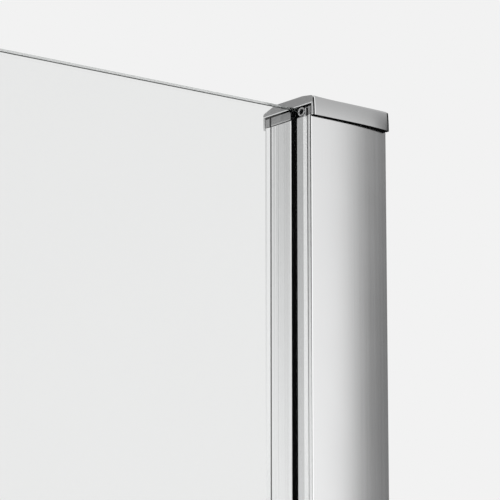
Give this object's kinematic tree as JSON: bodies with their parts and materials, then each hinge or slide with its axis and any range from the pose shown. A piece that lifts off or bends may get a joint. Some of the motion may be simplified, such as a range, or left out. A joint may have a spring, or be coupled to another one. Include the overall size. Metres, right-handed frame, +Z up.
{
  "type": "shower enclosure",
  "caption": "Frameless corner shower enclosure: clear glass panes in bright wall channels with chrome end caps, and an outward-opening hinged glass door.",
  "frame": {"origin": "floor level on the first wall, in the middle plane of the front glass", "axes": "+X into the first wall, +Y from the front glass into the shower, +Z up"},
  "size_m": [0.9103, 0.941, 1.95],
  "materials": {
    "clear_glass": "clear toughened glass, 6 mm, ground edges",
    "bright_aluminium": "bright polished anodised extrusion",
    "chrome": "polished chrome plate",
    "steel": "stainless steel fasteners",
    "black_rubber": "black EPDM",
    "clear_vinyl": "clear soft vinyl",
    "magnet_strip": "flexible magnet strip",
    "grey_plastic": "moulded nylon"
  },
  "bodies": {
    "fixed_frame": {"bar_clamp_screws": "steel", "door_threshold": "bright_aluminium", "front_bar_clamp": "chrome", "front_fixed_pane": "clear_glass", "front_floor_channel": "bright_aluminium", "front_glass_carrier": "bright_aluminium", "front_glass_gasket": "black_rubber", "front_lock_screws": "steel", "front_screw_covers": "chrome", "front_setting_blocks": "grey_plastic", "front_top_cap": "chrome", "front_wall_channel": "bright_aluminium", "hinge_fixed_pads": "black_rubber", "hinge_fixed_screws": "steel", "lower_hinge_fixed_body": "chrome", "lower_hinge_fixed_cover": "chrome", "lower_hinge_pin": "steel", "side_bar_clamp": "chrome", "side_floor_channel": "bright_aluminium", "side_floor_plug": "grey_plastic", "side_glass_carrier": "bright_aluminium", "side_glass_gasket": "black_rubber", "side_lock_screws": "steel", "side_magnet": "magnet_strip", "side_magnet_seal": "clear_vinyl", "side_pane": "clear_glass", "side_screw_covers": "chrome", "side_setting_blocks": "grey_plastic", "side_top_cap": "chrome", "side_wall_channel": "bright_aluminium", "support_bar": "bright_aluminium", "upper_hinge_fixed_body": "chrome", "upper_hinge_fixed_cover": "chrome", "upper_hinge_pin": "steel"},
    "door": {"door_drip_seal": "clear_vinyl", "door_magnet": "magnet_strip", "door_magnet_seal": "clear_vinyl", "door_pane": "clear_glass", "handle_bolts": "steel", "handle_glass_bushes": "grey_plastic", "handle_standoffs": "chrome", "handle_washers": "grey_plastic", "hinge_bushes": "grey_plastic", "hinge_door_pads": "black_rubber", "hinge_door_screws": "steel", "hinge_side_seal": "clear_vinyl", "inner_handle_bar": "chrome", "lower_hinge_door_body": "chrome", "lower_hinge_door_cover": "chrome", "outer_handle_bar": "chrome", "upper_hinge_door_body": "chrome", "upper_hinge_door_cover": "chrome"}
  },
  "joints": [
    {"name": "door_swing", "type": "hinge", "parent": "fixed_frame", "child": "door", "pos_m": [-0.295, 0, 0.975], "axis": [0, 0, 1], "range_deg": [0, 100]}
  ]
}
